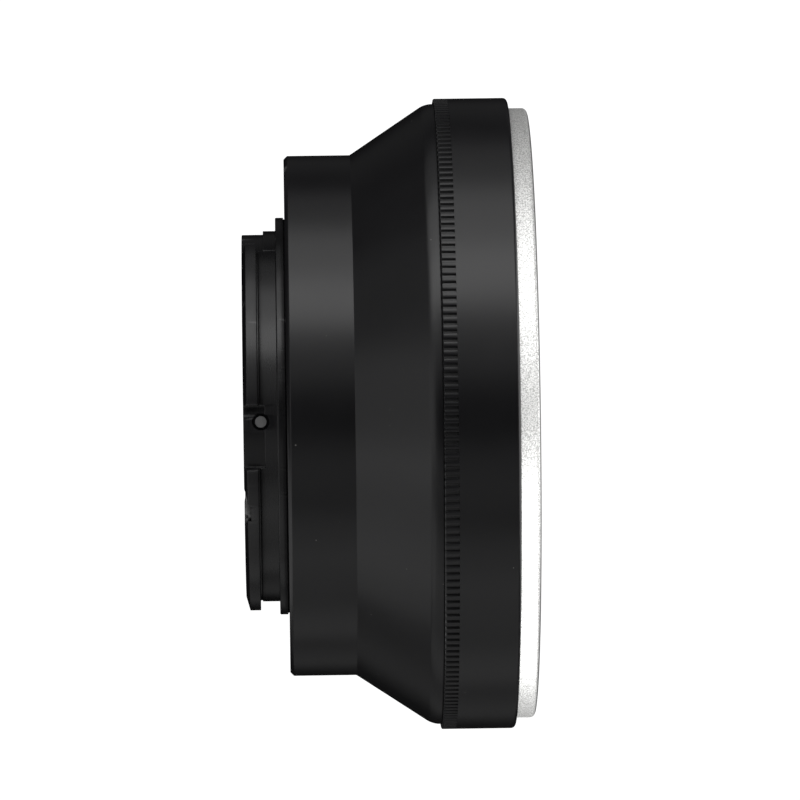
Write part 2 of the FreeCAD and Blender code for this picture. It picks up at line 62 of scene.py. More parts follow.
def look_axes(yaw, pitch, roll):
    """Right, up and forward of the camera, from three small angles about the view to +Y."""
    forward = Vector((math.sin(pitch), math.cos(pitch) * math.cos(yaw), -math.cos(pitch) * math.sin(yaw)))
    right = forward.cross(Vector((1, 0, 0))).normalized()
    up = right.cross(forward)
    turn = Matrix.Rotation(-roll, 3, forward)
    return turn @ right, turn @ up, forward


right, up, forward = look_axes(YAW, PITCH, ROLL)
lens = bpy.data.cameras.new("studio_camera")
lens.sensor_width = SENSOR
lens.lens = FOCAL
lens.clip_start = 0.05
lens.clip_end = 30
camera = bpy.data.objects.new("studio_camera", lens)
bpy.context.scene.collection.objects.link(camera)
camera.matrix_world = Matrix.Translation(EYE) @ Matrix((right, up, -forward)).transposed().to_4x4()
bpy.context.scene.camera = camera
print("camera up is", [round(v, 3) for v in up], "forward", [round(v, 3) for v in forward])

# %% [markdown]
# Every black and chrome piece here came off a lathe. A Screw modifier or a Spin of half a section
# would also make such a form, but both leave a seam to weld. Here a circle is extruded and scaled
# from corner to corner of the section, as a turner's tool travels round it, and the last ring is
# merged with the first. Each edge loop then stays a clean circle that can be picked by its radius.

# %% Lathe helpers
WELD = 0.0005 * MM


def start_clean():
    """Leave object mode's selection empty, because an operator acts on all that is selected."""
    bpy.ops.object.select_all(action="DESELECT")


def turn_on_lathe(name, section, facets):
    """A closed section of (radius, height) corners turned into a ring of that many facets."""
    start_clean()
    radius, height = section[0]
    bpy.ops.mesh.primitive_circle_add(vertices=facets, radius=radius * MM, location=(0, 0, height * MM))
    piece = bpy.context.object
    piece.name = name
    bpy.ops.object.transform_apply(location=True, rotation=True, scale=True)
    bpy.ops.object.mode_set(mode="EDIT")
    for next_radius, next_height in section[1:] + section[:1]:
        rise = (next_height - height) * MM
        widen = next_radius / radius
        bpy.ops.mesh.extrude_region_move(TRANSFORM_OT_translate={"value": (0, 0, rise)})
        bpy.ops.transform.resize(value=(widen, widen, 1))
        radius, height = next_radius, next_height
    bpy.ops.mesh.select_all(action="SELECT")
    bpy.ops.mesh.remove_doubles(threshold=10 * WELD)
    bpy.ops.mesh.normals_make_consistent(inside=False)
    bpy.ops.object.mode_set(mode="OBJECT")
    return piece


def pick_circle(piece, radius, height, near=0.004):
    """Select the edges of the circle at one radius and height, in edit mode."""
    bpy.ops.mesh.select_all(action="DESELECT")
    bpy.ops.mesh.select_mode(type="EDGE")
    mesh = bmesh.from_edit_mesh(piece.data)
    picked = 0
    for edge in mesh.edges:
        ends = [(math.hypot(v.co.x, v.co.y) / MM - radius, v.co.z / MM - height) for v in edge.verts]
        edge.select_set(all(abs(dr) < near and abs(dz) < near for dr, dz in ends))
        picked += edge.select
    bmesh.update_edit_mesh(piece.data)
    return picked


def round_circles(piece, corners):
    """Bevel the circular edges at (radius, height), each with its own width and segments."""
    start_clean()
    bpy.context.view_layer.objects.active = piece
    piece.select_set(True)
    bpy.ops.object.mode_set(mode="EDIT")
    for radius, height, width, segments in corners:
        picked = pick_circle(piece, radius, height)
        bpy.ops.mesh.bevel(offset=width * MM, segments=segments, affect="EDGES")
        print(piece.name, "rounded", picked, "edges by", width, "mm")
    bpy.ops.object.mode_set(mode="OBJECT")


def cut_away(piece, cutter):
    """Mill the cutter's shape out of the piece, and put the cutter away."""
    mill = piece.modifiers.new("mill", "BOOLEAN")
    mill.operation = "DIFFERENCE"
    mill.solver = "EXACT"
    mill.object = cutter
    bpy.context.view_layer.objects.active = piece
    bpy.ops.object.modifier_apply(modifier=mill.name)
    bpy.data.objects.remove(cutter, do_unlink=True)
    start_clean()
    piece.select_set(True)
    bpy.ops.object.mode_set(mode="EDIT")
    bpy.ops.mesh.select_all(action="SELECT")
    bpy.ops.mesh.remove_doubles(threshold=WELD)
    bpy.ops.mesh.dissolve_degenerate(threshold=WELD)
    bpy.ops.object.mode_set(mode="OBJECT")


def break_edges(piece, width, segments=2, angle=35):
    """Take the sharpness off every remaining edge, as a deburring tool does."""
    soften = piece.modifiers.new("broken_edges", "BEVEL")
    soften.width = width * MM
    soften.segments = segments
    soften.limit_method = "ANGLE"
    soften.angle_limit = math.radians(angle)
    soften.use_clamp_overlap = False
    bpy.context.view_layer.objects.active = piece
    bpy.ops.object.modifier_apply(modifier=soften.name)


def smooth_metal(piece, angle=50):
    """Smooth shading that leaves the large faces their own direction."""
    start_clean()
    piece.select_set(True)
    bpy.context.view_layer.objects.active = piece
    bpy.ops.object.shade_smooth_by_angle(angle=math.radians(angle))
    weigh = piece.modifiers.new("weighted_normals", "WEIGHTED_NORMAL")
    weigh.keep_sharp = True
    bpy.ops.object.modifier_apply(modifier=weigh.name)
    print(piece.name, "has", len(piece.data.polygons), "faces")


def sector_block(name, inner, outer, low, high, start, end):
    """A block between two radii, two heights and two angles in degrees: a plane spun about the axis."""
    start_clean()
    place = ((inner + outer) / 2 * MM, 0, (low + high) / 2 * MM)
    bpy.ops.mesh.primitive_plane_add(size=1, location=place, rotation=(math.pi / 2, 0, 0))
    block = bpy.context.object
    block.name = name
    block.scale = ((outer - inner) * MM, (high - low) * MM, 1)
    bpy.ops.object.transform_apply(location=True, rotation=True, scale=True)
    block.rotation_euler.z = math.radians(start)
    bpy.ops.object.transform_apply(location=False, rotation=True, scale=False)
    bpy.ops.object.mode_set(mode="EDIT")
    bpy.ops.mesh.select_all(action="SELECT")
    steps = max(2, round((end - start) * 2))
    bpy.ops.mesh.spin(steps=steps, angle=math.radians(start - end), center=(0, 0, 0), axis=(0, 0, 1))
    bpy.ops.mesh.select_all(action="SELECT")
    bpy.ops.mesh.remove_doubles(threshold=10 * WELD)
    bpy.ops.mesh.select_all(action="DESELECT")
    bpy.ops.mesh.select_non_manifold()
    bpy.ops.mesh.edge_face_add()
    bpy.ops.mesh.select_all(action="SELECT")
    bpy.ops.mesh.normals_make_consistent(inside=False)
    bpy.ops.object.mode_set(mode="OBJECT")
    return block


def round_cutter(name, steps, facets=64):
    """A solid about the Z axis that runs through (radius, height) steps from its lower to its upper end."""
    start_clean()
    radius, height = steps[0]
    bpy.ops.mesh.primitive_circle_add(
        vertices=facets, radius=radius * MM, fill_type="NGON", location=(0, 0, height * MM))
    cutter = bpy.context.object
    cutter.name = name
    bpy.ops.object.transform_apply(location=True, rotation=True, scale=True)
    bpy.ops.object.mode_set(mode="EDIT")
    for next_radius, next_height in steps[1:]:
        rise = (next_height - height) * MM
        bpy.ops.mesh.extrude_region_move(TRANSFORM_OT_translate={"value": (0, 0, rise)})
        bpy.ops.transform.resize(value=(next_radius / radius, next_radius / radius, 1))
        radius, height = next_radius, next_height
    bpy.ops.mesh.select_all(action="SELECT")
    bpy.ops.mesh.normals_make_consistent(inside=False)
    bpy.ops.object.mode_set(mode="OBJECT")
    return cutter


def stand_at(cutter, distance, angle):
    """Put an upright cutter at a distance from the lens axis and an angle in degrees."""
    start_clean()
    cutter.select_set(True)
    bpy.context.view_layer.objects.active = cutter
    turn = math.radians(angle)
    cutter.location = Vector((math.cos(turn), math.sin(turn), 0)) * distance * MM
    bpy.ops.object.transform_apply(location=True, rotation=False, scale=False)
    return cutter


def lay_along_radius(cutter, angle, height):
    """Lay an upright cutter down, so that its heights become distances from the lens axis."""
    start_clean()
    cutter.select_set(True)
    bpy.context.view_layer.objects.active = cutter
    cutter.rotation_euler = (0, math.pi / 2, math.radians(angle))
    cutter.location.z = height * MM
    bpy.ops.object.transform_apply(location=True, rotation=True, scale=False)
    return cutter


# %% [markdown]
# The body is one black anodised turning: a short cylinder at the camera end, a cone, a narrow land
# and a nose that the lock ring runs on. Inside, undercut steps catch stray light.

# %% Body
FACETS = 288
LAND_R, REAR_R, THROAT_R, LIGHT_BORE_R = 38.75, 32.5, 30.3, 19.6
LAND_Z, CONE_Z, REAR_Z, FLANGE_Z = 11.67, 12.72, 22.16, 30.4
NOSE_R, NOSE_Z, BOSS_R, SHOULDER_Z = 32.9, 4.6, 37.14, 7.12
RELIEF_R, RELIEF_Z = 24.9, 30.1
FOOT_R, FOOT_Z = 23.63, 28.4
STEPS, STEP_FRONT_Z, STEP_BACK_Z, UNDERCUT = 9, 12.0, 25.8, 0.35


def stray_light_steps():
    """The stepped inside from the throat in to the light bore, from the lens side up."""
    drop = (THROAT_R - LIGHT_BORE_R) / STEPS
    rise = (STEP_BACK_Z - STEP_FRONT_Z) / STEPS
    corners = []
    for step in range(STEPS):
        radius = THROAT_R - step * drop
        height = STEP_FRONT_Z + step * rise
        corners.append((radius, height))
        corners.append((radius - drop, height - (UNDERCUT if step else 0)))
    return corners


body = turn_on_lathe("adapter_shell", [
    (THROAT_R, NOSE_Z), (NOSE_R, NOSE_Z), (NOSE_R, SHOULDER_Z), (BOSS_R, SHOULDER_Z),
    (BOSS_R, LAND_Z), (LAND_R, LAND_Z), (LAND_R, CONE_Z), (REAR_R, REAR_Z), (REAR_R, FLANGE_Z),
    (RELIEF_R, FLANGE_Z), (RELIEF_R, RELIEF_Z), (FOOT_R, RELIEF_Z), (FOOT_R, FOOT_Z),
    (LIGHT_BORE_R, FOOT_Z)] + stray_light_steps()[::-1], FACETS)
round_circles(body, [(REAR_R, FLANGE_Z, 0.45, 1), (LAND_R, CONE_Z, 0.8, 8)])

# %% [markdown]
# Milled into the body are the slot for the camera's lock pin, in the flange, and a round recess
# for the painted mark. The slot's cutter is a cylinder whose outer half is pulled out along the
# radius, which leaves a long shape with two round ends, as an end mill does.

# %% Slot and recess of the body
MARK_ANGLE = 90.0
MARK_RECESS_R, MARK_DEPTH = 0.8, 0.3
MARK_Z = (REAR_Z + FLANGE_Z) / 2
LOCK_SLOT_ANGLE, LOCK_SLOT_HALF, LOCK_SLOT_FLOOR_Z = 60.0, 1.6, 28.6
LOCK_SLOT_ENDS = (26.4, 29.0)

break_edges(body, 0.06, angle=25)
slot_steps = [(LOCK_SLOT_HALF, LOCK_SLOT_FLOOR_Z), (LOCK_SLOT_HALF, FLANGE_Z + 1)]
slot_cutter = round_cutter("slot_cutter", slot_steps)
bpy.ops.object.mode_set(mode="EDIT")
bpy.ops.mesh.select_all(action="DESELECT")
half = bmesh.from_edit_mesh(slot_cutter.data)
for vertex in half.verts:
    vertex.select_set(vertex.co.x > 0.01 * MM)
half.select_flush_mode()
bmesh.update_edit_mesh(slot_cutter.data)
bpy.ops.transform.translate(value=((LOCK_SLOT_ENDS[1] - LOCK_SLOT_ENDS[0]) * MM, 0, 0))
bpy.ops.object.mode_set(mode="OBJECT")
slot_cutter.location.x = LOCK_SLOT_ENDS[0] * MM
bpy.ops.object.transform_apply(location=True, rotation=False, scale=False)
slot_cutter.rotation_euler.z = math.radians(LOCK_SLOT_ANGLE)
bpy.ops.object.transform_apply(location=False, rotation=True, scale=False)
cut_away(body, slot_cutter)
mark_steps = [(MARK_RECESS_R, REAR_R - MARK_DEPTH), (MARK_RECESS_R, REAR_R + 1)]
cut_away(body, lay_along_radius(round_cutter("mark_recess", mark_steps), MARK_ANGLE, MARK_Z))
smooth_metal(body, 25)
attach(body, "adapter_body")
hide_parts("body_shell")

# %% [markdown]
# The camera bayonet is one turned and milled ring: a spigot disc that centres it in the camera, a
# barrel, and three lugs with a coned end face that pass into the camera and turn under its springs.
# Two turned grooves, at the foot of the disc and behind the lugs, show as thin dark lines.

# %% Bayonet turning
FINE_FACETS = 720
BARREL_R, LUG_R, GAP_R, BAYONET_BORE_R, SPIGOT_R = 23.15, 24.25, 22.7, 19.2, 24.8
SPIGOT_Z, GAP_Z, LUG_PIN_Z, LUG_Z, LUG_SHOULDER_Z, END_Z = 31.56, 33.1, 33.6, 33.95, 35.28, 35.75
CONED_END_R, BAYONET_FOOT_R, MOUTH_CHAMFER = 22.56, 23.6, 0.3
DISC_GROOVE_DEPTH, DISC_GROOVE_H = 0.2, 0.15
LUG_GROOVE_DEPTH, LUG_GROOVE_H = 0.15, 0.25
LUGS = ((273.0, 331.5), (176.0, 254.0), (38.0, 120.0))

bayonet = turn_on_lathe("bayonet", [
    (BAYONET_BORE_R, FOOT_Z), (BAYONET_FOOT_R, FOOT_Z), (BAYONET_FOOT_R, FLANGE_Z),
    (SPIGOT_R - DISC_GROOVE_DEPTH, FLANGE_Z), (SPIGOT_R - DISC_GROOVE_DEPTH, FLANGE_Z + DISC_GROOVE_H),
    (SPIGOT_R, FLANGE_Z + DISC_GROOVE_H), (SPIGOT_R, SPIGOT_Z), (BARREL_R, SPIGOT_Z),
    (BARREL_R, LUG_Z - LUG_GROOVE_H), (BARREL_R - LUG_GROOVE_DEPTH, LUG_Z - LUG_GROOVE_H),
    (BARREL_R - LUG_GROOVE_DEPTH, LUG_Z), (LUG_R, LUG_Z), (LUG_R, LUG_SHOULDER_Z),
    (CONED_END_R, END_Z), (BAYONET_BORE_R + MOUTH_CHAMFER, END_Z),
    (BAYONET_BORE_R, END_Z - MOUTH_CHAMFER)], FINE_FACETS)
round_circles(bayonet, [(SPIGOT_R, SPIGOT_Z, 0.12, 2)])

# %% [markdown]
# The gaps between the lugs are milled down to just under the barrel, so that a fine step runs
# round the wall. Three small screws sink into round recesses; one of them bites into a lug's edge,
# as on the real piece. A pressed stop pin sits in a round recess between two lugs.

# %% Bayonet milling
ordered = sorted(LUGS)
for number, (start, end) in enumerate(ordered):
    next_start = ordered[(number + 1) % 3][0] + (360 if number == 2 else 0)
    cut_away(bayonet, sector_block("lug_gap", GAP_R, LUG_R + 2, GAP_Z, END_Z + 1, end, next_start))
SCREW_ANGLES = (240.3, 112.0, 52.0)
SCREW_PITCH_R, SCREW_RECESS_R, SCREW_RECESS_Z = 21.9, 2.53, 34.91
PIN_ANGLE = 268.1
break_edges(bayonet, 0.05)
recess_steps = [
    (SCREW_RECESS_R, SCREW_RECESS_Z), (SCREW_RECESS_R, END_Z - 0.06),
    (SCREW_RECESS_R + 0.06, END_Z), (SCREW_RECESS_R + 0.06, END_Z + 1)]
for angle in SCREW_ANGLES:
    cut_away(bayonet, stand_at(round_cutter("screw_recess", recess_steps), SCREW_PITCH_R, angle))
pin_steps = [(1.0, GAP_R - 0.75), (1.0, GAP_R - 0.1), (1.08, GAP_R), (1.08, LUG_R + 1)]
cut_away(bayonet, lay_along_radius(round_cutter("pin_recess", pin_steps), PIN_ANGLE, LUG_PIN_Z))
smooth_metal(bayonet)
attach(bayonet, "adapter_body")
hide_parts("camera_bayonet")

# %% [markdown]
# The lock ring is the wide black ring that the hand turns. Its smooth part is turned with a gap
# where the knurl will go, so that the two can be bridged edge to edge.

# %% Lock ring turning
RING_R, RING_BORE_R, RING_FRONT_Z, RING_REAR_Z = 39.4, 37.2, 2.45, 11.63
KNURL_FRONT_Z = 9.91
RING_MOUTH_R, RING_BACK_R, LIP_R, LIP_FRONT_Z, LIP_REAR_Z = 34.1, 38.7, 32.96, 4.66, 6.46
lock_ring = turn_on_lathe("grip_ring", [
    (RING_MOUTH_R, RING_FRONT_Z), (RING_R, RING_FRONT_Z), (RING_R, KNURL_FRONT_Z - 0.06),
    (RING_BACK_R, RING_REAR_Z), (RING_BORE_R, RING_REAR_Z), (RING_BORE_R, LIP_REAR_Z),
    (LIP_R, LIP_REAR_Z), (LIP_R, LIP_FRONT_Z), (RING_MOUTH_R, LIP_FRONT_Z)], FACETS)
round_circles(lock_ring, [(RING_R, RING_FRONT_Z, 0.5, 5)])
break_edges(lock_ring, 0.05)
mark_steps = [(MARK_RECESS_R, RING_R - MARK_DEPTH), (MARK_RECESS_R, RING_R + 1)]
ring_mark_z = (RING_FRONT_Z + KNURL_FRONT_Z) / 2
cut_away(lock_ring, lay_along_radius(round_cutter("mark_recess", mark_steps), MARK_ANGLE, ring_mark_z))

# %% [markdown]
# The knurl has 240 straight teeth. A circle with eight vertices to a tooth is extruded along the
# band, and then only the vertices over the notches are pressed in, all at once. So the whole knurl
# stays one closed skin with four rings of faces, and not 240 loose bars.

# %% Knurl
TEETH = 240
PER_TOOTH = 8
TOOTH_DEPTH = 0.34
TIP_EASE = 0.035
KNURL_LEAD, KNURL_CHAMFER = 0.03, 0.1


def press_in(piece, places, depth, above):
    """Scale the chosen vertices of every tooth towards the axis, above one height."""
    bpy.ops.mesh.select_all(action="DESELECT")
    bpy.ops.mesh.select_mode(type="VERT")
    mesh = bmesh.from_edit_mesh(piece.data)
    spacing = 360 / TEETH / PER_TOOTH
    for vertex in mesh.verts:
        place = round(math.degrees(math.atan2(vertex.co.y, vertex.co.x)) / spacing) % PER_TOOTH
        vertex.select_set(place in places and vertex.co.z > above * MM)
    mesh.select_flush_mode()
    bmesh.update_edit_mesh(piece.data)
    shrink = 1 - depth / RING_R
    bpy.ops.transform.resize(value=(shrink, shrink, 1), center_override=(0, 0, 0))


start_clean()
knurl_start = (0, 0, (KNURL_FRONT_Z - KNURL_LEAD) * MM)
bpy.ops.mesh.primitive_circle_add(vertices=TEETH * PER_TOOTH, radius=RING_R * MM, location=knurl_start)
knurl = bpy.context.object
knurl.name = "knurl"
bpy.ops.object.transform_apply(location=True, rotation=True, scale=True)
bpy.ops.object.mode_set(mode="EDIT")
for rise in (KNURL_LEAD, RING_REAR_Z - KNURL_FRONT_Z - KNURL_CHAMFER, KNURL_CHAMFER):
    bpy.ops.mesh.extrude_region_move(TRANSFORM_OT_translate={"value": (0, 0, rise * MM)})
shrink = 1 - KNURL_CHAMFER / RING_R
bpy.ops.transform.resize(value=(shrink, shrink, 1))
press_in(knurl, (3, 4, 5), TOOTH_DEPTH, KNURL_FRONT_Z - 0.01)
press_in(knurl, (2, 6), TIP_EASE, KNURL_FRONT_Z - 0.01)
bpy.ops.object.mode_set(mode="OBJECT")
print("knurl faces:", len(knurl.data.polygons))

# %% [markdown]
# The skin of the ring is opened over the band, both meshes are joined, and the two pairs of open
# loops are bridged. Bridging loops of unlike counts gives thin triangles, which do no harm here,
# because they lie in the smooth cylinder and in the flat rear face.

# %% Join ring and knurl
SKIN_R = 38     # between the ring's bore and its outer skin
start_clean()
lock_ring.select_set(True)
bpy.context.view_layer.objects.active = lock_ring
bpy.ops.object.mode_set(mode="EDIT")
bpy.ops.mesh.select_all(action="DESELECT")
bpy.ops.mesh.select_mode(type="FACE")
skin = bmesh.from_edit_mesh(lock_ring.data)
for face in skin.faces:
    middle = face.calc_center_median()
    over_band = KNURL_FRONT_Z * MM < middle.z < (RING_REAR_Z - KNURL_CHAMFER) * MM
    face.select_set(over_band and math.hypot(middle.x, middle.y) > SKIN_R * MM)
print("faces taken out over the knurl:", sum(face.select for face in skin.faces))
bmesh.update_edit_mesh(lock_ring.data)
bpy.ops.mesh.delete(type="FACE")
bpy.ops.object.mode_set(mode="OBJECT")
knurl.select_set(True)
bpy.ops.object.join()
bpy.ops.object.mode_set(mode="EDIT")
bpy.ops.mesh.select_mode(type="EDGE")


def pick_open_loops(piece, low, high):
    """Select the open edges between two heights."""
    mesh = bmesh.from_edit_mesh(piece.data)
    bpy.ops.mesh.select_all(action="DESELECT")
    for edge in mesh.edges:
        edge.select_set(edge.is_boundary and all(low * MM < v.co.z < high * MM for v in edge.verts))
    bmesh.update_edit_mesh(piece.data)
    return sum(edge.select for edge in mesh.edges)


for low, high in ((KNURL_FRONT_Z - 0.3, KNURL_FRONT_Z - 0.01), (RING_REAR_Z - 0.09, RING_REAR_Z + 0.1)):
    print("open edges to bridge:", pick_open_loops(lock_ring, low, high))
    bpy.ops.mesh.bridge_edge_loops()
bpy.ops.mesh.select_all(action="SELECT")
bpy.ops.mesh.normals_make_consistent(inside=False)
bpy.ops.object.mode_set(mode="OBJECT")
smooth_metal(lock_ring, 40)
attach(lock_ring, "turning_ring")
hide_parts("lock_ring")

# %% [markdown]
# The satin chrome ring closes the lens side. Its outer corner is well rounded, and three wings
# reach inwards over the tabs of the lens. It is turned as a full ring, and the passages for the
# tabs are milled between the wings. Six countersunk screws hold it.

# %% Chrome ring
WING_R, NOTCH_R, TAB_SPACE_R, CHROME_R, WING_T = 31.0, 33.6, 33.9, 38.1, 1.2
WING_MIDDLES = (30.0, 150.0, 270.0)
WING_SPAN = 52.0
chrome = turn_on_lathe("chrome_ring", [
    (WING_R, 0), (CHROME_R, 0), (CHROME_R, RING_FRONT_Z), (TAB_SPACE_R, RING_FRONT_Z),
    (TAB_SPACE_R, WING_T), (WING_R, WING_T)], FINE_FACETS)
round_circles(chrome, [(CHROME_R, 0, 0.6, 6)])
for middle in WING_MIDDLES:
    start = middle + WING_SPAN / 2
    end = start + 120 - WING_SPAN
    cut_away(chrome, sector_block("tab_passage", WING_R - 2, NOTCH_R, -1, WING_T + 0.5, start, end))
break_edges(chrome, 0.07)
SINK_PITCH_R, SINK_R, SINK_FLOOR_R, SINK_CHAMFER = 35.3, 1.28, 0.83, 0.05
SINK_SIDE = 17
sink_steps = [
    (SINK_R + SINK_CHAMFER, -1), (SINK_R + SINK_CHAMFER, 0), (SINK_R, SINK_CHAMFER),
    (SINK_FLOOR_R, 0.5), (SINK_FLOOR_R, 1.4)]
for middle in WING_MIDDLES:
    for side in (-SINK_SIDE, SINK_SIDE):
        cut_away(chrome, stand_at(round_cutter("countersink", sink_steps), SINK_PITCH_R, middle + side))
smooth_metal(chrome)
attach(chrome, "turning_ring")
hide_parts("wing_ring")

# %% [markdown]
# Finishes. Every pattern is worked out in millimetres from Object coordinates. A lathe leaves marks
# that run round the axis, so they are noise over radius and height alone. Blasting leaves fine
# grain, and handling leaves a few specks of dust. Convex edges are painted a little brighter, partly
# as wear and partly as a painted highlight along the edges.

# %% Finish helpers
def start_finish(name):
    """A new material, with its tree, its shader and its coordinates in millimetres."""
    finish = bpy.data.materials.new(name)
    finish.use_nodes = True
    tree = finish.node_tree
    coordinates = tree.nodes.new("ShaderNodeTexCoord")
    in_mm = tree.nodes.new("ShaderNodeVectorMath")
    in_mm.operation = "SCALE"
    in_mm.inputs["Scale"].default_value = 1 / MM
    tree.links.new(coordinates.outputs["Object"], in_mm.inputs[0])
    return finish, tree, tree.nodes["Principled BSDF"], in_mm.outputs["Vector"]


def set_or_link(tree, term, socket):
    """Give a socket a constant, or another node's output."""
    if isinstance(term, (int, float, tuple)):
        socket.default_value = term
    else:
        tree.links.new(term, socket)


def calculate(tree, operation, *terms):
    """A Math node over numbers and outputs."""
    node = tree.nodes.new("ShaderNodeMath")
    node.operation = operation
    for term, socket in zip(terms, node.inputs):
        set_or_link(tree, term, socket)
    return node.outputs["Value"]


def blend(tree, share, first, second):
    """A colour between two colours, by a share from 0 to 1."""
    node = tree.nodes.new("ShaderNodeMix")
    node.data_type = "RGBA"
    set_or_link(tree, share, node.inputs["Factor"])
    set_or_link(tree, first, node.inputs[6])
    set_or_link(tree, second, node.inputs[7])
    return node.outputs[2]


def grain(tree, place, grain_mm, detail=2):
    """Noise with grains of about one size."""
    node = tree.nodes.new("ShaderNodeTexNoise")
    node.inputs["Scale"].default_value = 1 / grain_mm
    node.inputs["Detail"].default_value = detail
    tree.links.new(place, node.inputs["Vector"])
    return node.outputs["Fac"]


def round_the_axis(tree, place):
    """Distance from the lens axis and height, and the coordinates made of just these two."""
    parts = tree.nodes.new("ShaderNodeSeparateXYZ")
    tree.links.new(place, parts.inputs["Vector"])
    squares = [calculate(tree, "MULTIPLY", parts.outputs[axis], parts.outputs[axis]) for axis in "XY"]
    radius = calculate(tree, "SQRT", calculate(tree, "ADD", *squares))
    turned = tree.nodes.new("ShaderNodeCombineXYZ")
    tree.links.new(radius, turned.inputs["X"])
    tree.links.new(parts.outputs["Z"], turned.inputs["Z"])
    return radius, parts.outputs["Z"], turned.outputs["Vector"]


# Brightens convex edges in the base colour: partly wear, partly a painted highlight along the edges.
def edge_wear_and_highlight(tree, start=0.53, full=0.62):
    """1 on convex edges and 0 on faces, from how pointed the mesh is there."""
    shape = tree.nodes.new("ShaderNodeNewGeometry")
    ramp = tree.nodes.new("ShaderNodeMapRange")
    tree.links.new(shape.outputs["Pointiness"], ramp.inputs["Value"])
    ramp.inputs["From Min"].default_value = start
    ramp.inputs["From Max"].default_value = full
    return ramp.outputs["Result"]


def dust(tree, place, spacing_mm, share, largest):
    """1 in a few specks: the random colour of each cell picks which cells have one, and its size."""
    cells = tree.nodes.new("ShaderNodeTexVoronoi")
    cells.inputs["Scale"].default_value = 1 / spacing_mm
    tree.links.new(place, cells.inputs["Vector"])
    dice = tree.nodes.new("ShaderNodeSeparateColor")
    tree.links.new(cells.outputs["Color"], dice.inputs["Color"])
    chosen = calculate(tree, "LESS_THAN", dice.outputs["Red"], share)
    size = calculate(tree, "MULTIPLY", dice.outputs["Green"], largest / spacing_mm)
    near = calculate(tree, "LESS_THAN", cells.outputs["Distance"], size)
    return calculate(tree, "MULTIPLY", chosen, near)


def raise_surface(tree, shader, layers):
    """Bump from layers of (pattern, height in millimetres)."""
    total = 0.0
    for pattern, height in layers:
        total = calculate(tree, "MULTIPLY_ADD", pattern, height, total)
    bump = tree.nodes.new("ShaderNodeBump")
    bump.inputs["Strength"].default_value = 1
    bump.inputs["Distance"].default_value = MM
    tree.links.new(total, bump.inputs["Height"])
    tree.links.new(bump.outputs["Normal"], shader.inputs["Normal"])


# %% [markdown]
# Black anodising is a clear oxide skin dyed black. It is almost colourless with a trace of violet,
# and its shine is soft. Inside the light path the same metal is blasted matt. Lint makes the
# notches of the knurl a little grey.

# %% Black anodised metal
BLACK_SHINE = 0.5
NOTCH_INNER_R, NOTCH_OUTER_R = 39.0, 39.3
KNURL_MIDDLE_Z, KNURL_HALF = 10.8, 0.88
MATT_TOP_Z = 30.0


def black_anodised(name, roughness, grain_height, turned_height, matt_radius, wear_and_highlight, lint):
    finish, tree, shader, place = start_finish(name)
    radius, height, turned = round_the_axis(tree, place)
    blasted = grain(tree, place, 0.09)
    lines = grain(tree, turned, 0.12, 3)
    clouds = grain(tree, place, 7)
    specks = dust(tree, place, 1.9, 0.3, 0.11)
    # Convex edges are lightened: partly rubbed wear, partly a painted highlight.
    edges = calculate(tree, "MULTIPLY", edge_wear_and_highlight(tree), wear_and_highlight)
    dyed = blend(tree, clouds, (0.0065, 0.0065, 0.0073, 1), (0.0095, 0.0093, 0.0105, 1))
    rubbed_and_highlit = blend(tree, edges, dyed, (0.13, 0.13, 0.133, 1))
    notch = calculate(tree, "MULTIPLY", calculate(tree, "LESS_THAN", radius, NOTCH_OUTER_R),
                      calculate(tree, "COMPARE", height, KNURL_MIDDLE_Z, KNURL_HALF))
    notch = calculate(tree, "MULTIPLY", notch, calculate(tree, "GREATER_THAN", radius, NOTCH_INNER_R))
    rubbed_and_highlit = blend(tree, calculate(tree, "MULTIPLY", notch, lint), rubbed_and_highlit, (0.04, 0.04, 0.041, 1))
    tree.links.new(blend(tree, specks, rubbed_and_highlit, (0.16, 0.155, 0.15, 1)), shader.inputs["Base Color"])
    rough = calculate(tree, "MULTIPLY_ADD", lines, 0.05, roughness - 0.055)
    rough = calculate(tree, "MULTIPLY_ADD", clouds, 0.06, rough)
    rough = calculate(tree, "MULTIPLY_ADD", specks, 0.4, rough)
    inside = calculate(tree, "MULTIPLY", calculate(tree, "LESS_THAN", radius, matt_radius),
                       calculate(tree, "LESS_THAN", height, MATT_TOP_Z))
    rough = calculate(tree, "MULTIPLY_ADD", inside, 0.4, rough)
    tree.links.new(rough, shader.inputs["Roughness"])
    shader.inputs["Specular IOR Level"].default_value = BLACK_SHINE
    raise_surface(tree, shader, [(blasted, grain_height), (lines, turned_height)])
    return finish


black = black_anodised("black_anodised_finish", 0.3, 0.0012, 0.0008, 31.0, 0.7, 0)
bayonet_black = black_anodised("black_bayonet_finish", 0.28, 0.0006, 0.0012, 19.5, 0.7, 0)
ring_black = black_anodised("black_ring_finish", 0.3, 0.0012, 0.0008, 37.0, 0, 0.5)

# %% [markdown]
# Satin chrome is bright metal with a fine blasted grain, so it shows speckle rather than a
# reflection. It is shaded part metal and part white, and small pits darken it, which shows only
# where the light is not full. The very edge of its front face is painted darker grey as painted shade.

# %% Satin chrome
CHROME_METAL = 0.6
CHROME_ROUGH = 0.42
# Where the painted shade on the front edge of the chrome lies: outer radius and fading height band.
RIM_R, RIM_FADE_START, RIM_FADE_END = 37.2, 0.22, 0.14


